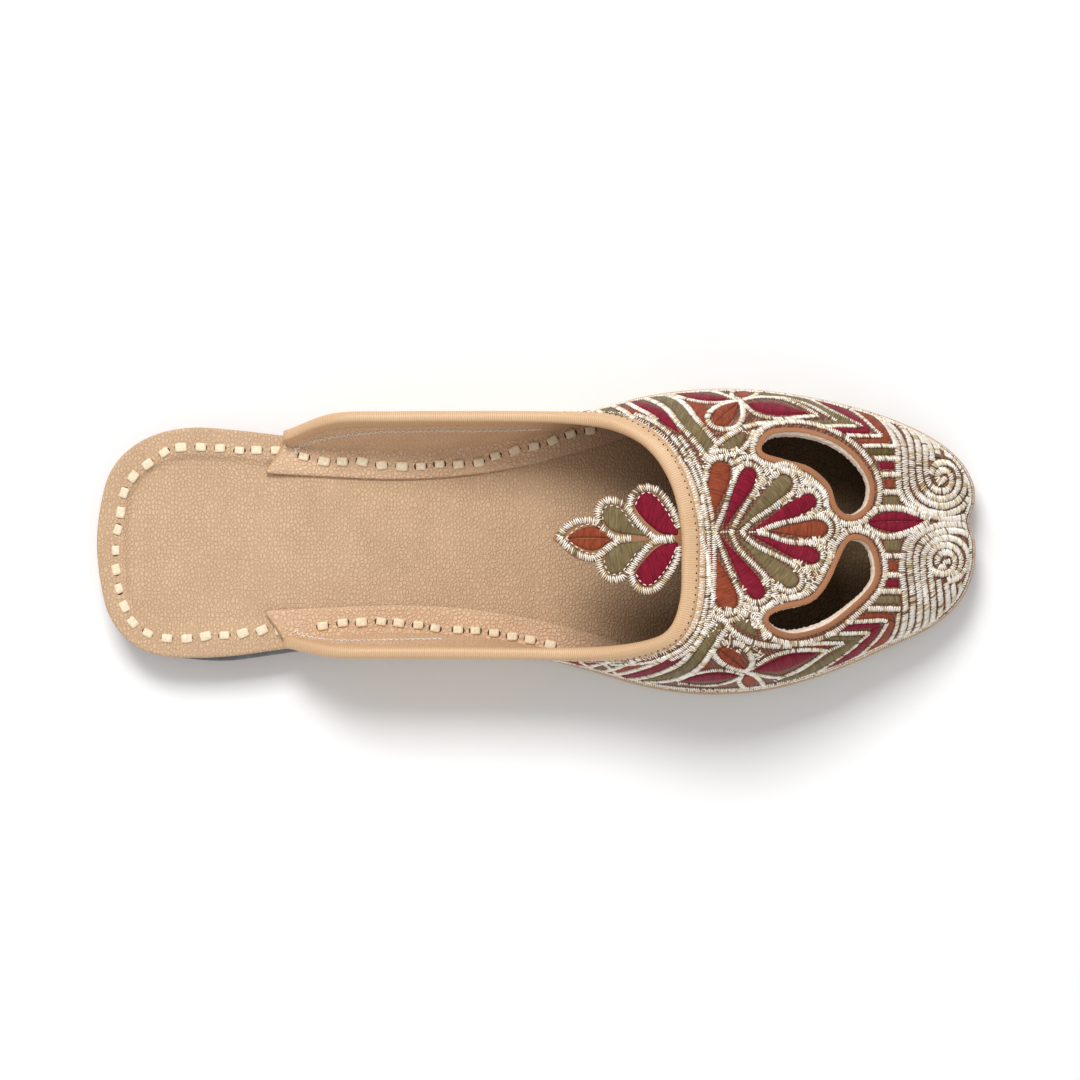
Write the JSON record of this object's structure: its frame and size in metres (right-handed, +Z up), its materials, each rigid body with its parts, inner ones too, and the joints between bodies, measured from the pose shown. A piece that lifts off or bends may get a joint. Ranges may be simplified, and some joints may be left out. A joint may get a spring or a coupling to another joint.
{
  "type": "backless slipper",
  "caption": "Backless flat slipper with an embroidered closed-toe upper, crescent cut-outs in the vamp, a decorative tongue and a low heel. Right shoe.",
  "frame": {"origin": "on the floor, under the middle of the shoe's bounding box", "axes": "+X towards the toe, +Y towards the inner side of the foot, +Z up"},
  "size_m": [0.2552, 0.0896, 0.051],
  "materials": {
    "heel_lift": "matt, brick red",
    "sole_leather": "cut edge, striated, semi-matt",
    "heel_wedge": "matt grey",
    "footbed_leather": "fine grain, semi-matt tan",
    "upper_cloth": "brown ground cloth under embroidery",
    "binding_leather": "soft folded leather, pale tan",
    "silk_thread": "satin-stitched thread in crimson, rust and olive",
    "metal_thread": "bright silver-coloured wrapped thread",
    "thong": "cream leather lacing and cotton thread"
  },
  "bodies": {
    "root": {"heel_lift": "heel_lift", "outsole": "sole_leather", "heel_wedge": "heel_wedge", "footbed": "footbed_leather", "upper": "upper_cloth", "topline_binding": "binding_leather", "tongue": "silk_thread"}
  },
  "joints": []
}
